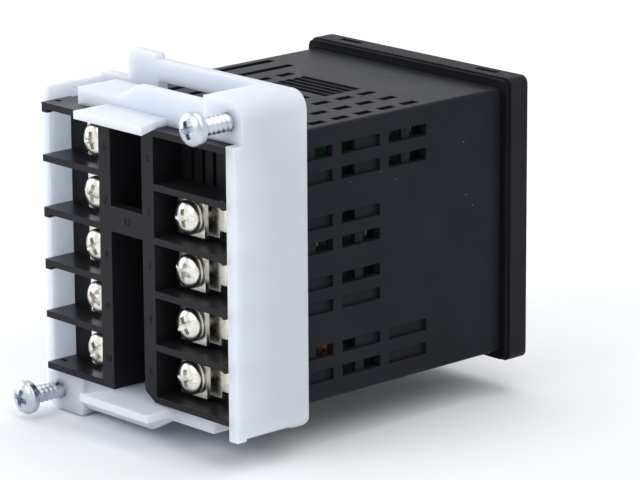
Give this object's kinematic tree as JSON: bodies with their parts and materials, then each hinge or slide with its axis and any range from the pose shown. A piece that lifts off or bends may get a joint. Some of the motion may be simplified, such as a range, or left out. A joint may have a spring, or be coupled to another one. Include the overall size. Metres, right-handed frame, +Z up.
{
  "type": "pid temperature controller",
  "caption": "Square panel-mount temperature controller with a vented case, rear screw terminals and a sliding translucent clamping bracket.",
  "frame": {"origin": "centre of the panel cut-out, on the panel's front face (the rear face of the gasket)", "axes": "+Y backwards through the panel, +Z up, +X to the right for someone facing the front"},
  "size_m": [0.0494, 0.0724, 0.0597],
  "materials": {
    "bezel_black": "satin",
    "smoked_window": "gloss",
    "display_black": "matte",
    "lamp_clear": "gloss",
    "gasket_rubber": "matte",
    "case_charcoal": "matte",
    "block_charcoal": "matte",
    "board_green": "satin",
    "copper": "satin",
    "chip_black": "matte",
    "relay_blue": "satin",
    "core_steel": "satin",
    "capacitor_sleeve": "gloss",
    "nickel": "satin",
    "zinc": "satin",
    "bracket_translucent": "satin",
    "key_grey": "satin"
  },
  "bodies": {
    "housing": {"front_bezel": "bezel_black", "display_window": "smoked_window", "panel_gasket": "gasket_rubber", "case": "case_charcoal", "terminal_block": "block_charcoal", "terminal_plates": "nickel", "upper_display": "display_black", "lower_display": "display_black", "status_lamps": "lamp_clear", "key_switches": "chip_black", "display_board": "board_green", "main_board": "board_green", "power_board": "board_green", "board_eyelet": "copper", "surface_parts": "chip_black", "output_relay": "relay_blue", "power_transformer": "core_steel", "filter_capacitor": "capacitor_sleeve", "controller_chip": "chip_black", "board_link": "chip_black"},
    "bracket": {"mounting_bracket": "bracket_translucent"},
    "clamp_top": {"clamp_screw_top": "zinc"},
    "clamp_bottom": {"clamp_screw_bottom": "zinc"},
    "key_1": {"key_1": "key_grey"},
    "key_2": {"key_2": "key_grey"},
    "key_3": {"key_3": "key_grey"},
    "key_4": {"key_4": "key_grey"},
    "terminal_1": {"terminal_screw_1": "nickel", "terminal_washer_1": "nickel"},
    "terminal_2": {"terminal_screw_2": "nickel", "terminal_washer_2": "nickel"},
    "terminal_3": {"terminal_screw_3": "nickel", "terminal_washer_3": "nickel"},
    "terminal_4": {"terminal_screw_4": "nickel", "terminal_washer_4": "nickel"},
    "terminal_5": {"terminal_screw_5": "nickel", "terminal_washer_5": "nickel"},
    "terminal_6": {"terminal_screw_6": "nickel", "terminal_washer_6": "nickel"},
    "terminal_7": {"terminal_screw_7": "nickel", "terminal_washer_7": "nickel"},
    "terminal_8": {"terminal_screw_8": "nickel", "terminal_washer_8": "nickel"},
    "terminal_9": {"terminal_screw_9": "nickel", "terminal_washer_9": "nickel"}
  },
  "joints": [
    {"name": "bracket_slide", "type": "slide", "parent": "housing", "child": "bracket", "axis": [0, 1, 0], "range_m": [-0.0375, 0.016]},
    {"name": "clamp_top_travel", "type": "slide", "parent": "bracket", "child": "clamp_top", "axis": [0, 1, 0], "range_m": [-0.0061, 0.004]},
    {"name": "clamp_bottom_travel", "type": "slide", "parent": "bracket", "child": "clamp_bottom", "axis": [0, 1, 0], "range_m": [-0.0061, 0.004]},
    {"name": "key_1_press", "type": "slide", "parent": "housing", "child": "key_1", "axis": [0, 1, 0], "range_m": [0, 0.0006], "stiffness_N_per_m": 1500, "springref_m": -0.0004},
    {"name": "key_2_press", "type": "slide", "parent": "housing", "child": "key_2", "axis": [0, 1, 0], "range_m": [0, 0.0006], "stiffness_N_per_m": 1500, "springref_m": -0.0004},
    {"name": "key_3_press", "type": "slide", "parent": "housing", "child": "key_3", "axis": [0, 1, 0], "range_m": [0, 0.0006], "stiffness_N_per_m": 1500, "springref_m": -0.0004},
    {"name": "key_4_press", "type": "slide", "parent": "housing", "child": "key_4", "axis": [0, 1, 0], "range_m": [0, 0.0006], "stiffness_N_per_m": 1500, "springref_m": -0.0004},
    {"name": "terminal_1_travel", "type": "slide", "parent": "housing", "child": "terminal_1", "axis": [0, 1, 0], "range_m": [-0.0011, 0.001]},
    {"name": "terminal_2_travel", "type": "slide", "parent": "housing", "child": "terminal_2", "axis": [0, 1, 0], "range_m": [-0.0011, 0.001]},
    {"name": "terminal_3_travel", "type": "slide", "parent": "housing", "child": "terminal_3", "axis": [0, 1, 0], "range_m": [-0.0011, 0.001]},
    {"name": "terminal_4_travel", "type": "slide", "parent": "housing", "child": "terminal_4", "axis": [0, 1, 0], "range_m": [-0.0011, 0.001]},
    {"name": "terminal_5_travel", "type": "slide", "parent": "housing", "child": "terminal_5", "axis": [0, 1, 0], "range_m": [-0.0011, 0.001]},
    {"name": "terminal_6_travel", "type": "slide", "parent": "housing", "child": "terminal_6", "axis": [0, 1, 0], "range_m": [-0.0011, 0.001]},
    {"name": "terminal_7_travel", "type": "slide", "parent": "housing", "child": "terminal_7", "axis": [0, 1, 0], "range_m": [-0.0011, 0.001]},
    {"name": "terminal_8_travel", "type": "slide", "parent": "housing", "child": "terminal_8", "axis": [0, 1, 0], "range_m": [-0.0011, 0.001]},
    {"name": "terminal_9_travel", "type": "slide", "parent": "housing", "child": "terminal_9", "axis": [0, 1, 0], "range_m": [-0.0011, 0.001]}
  ]
}
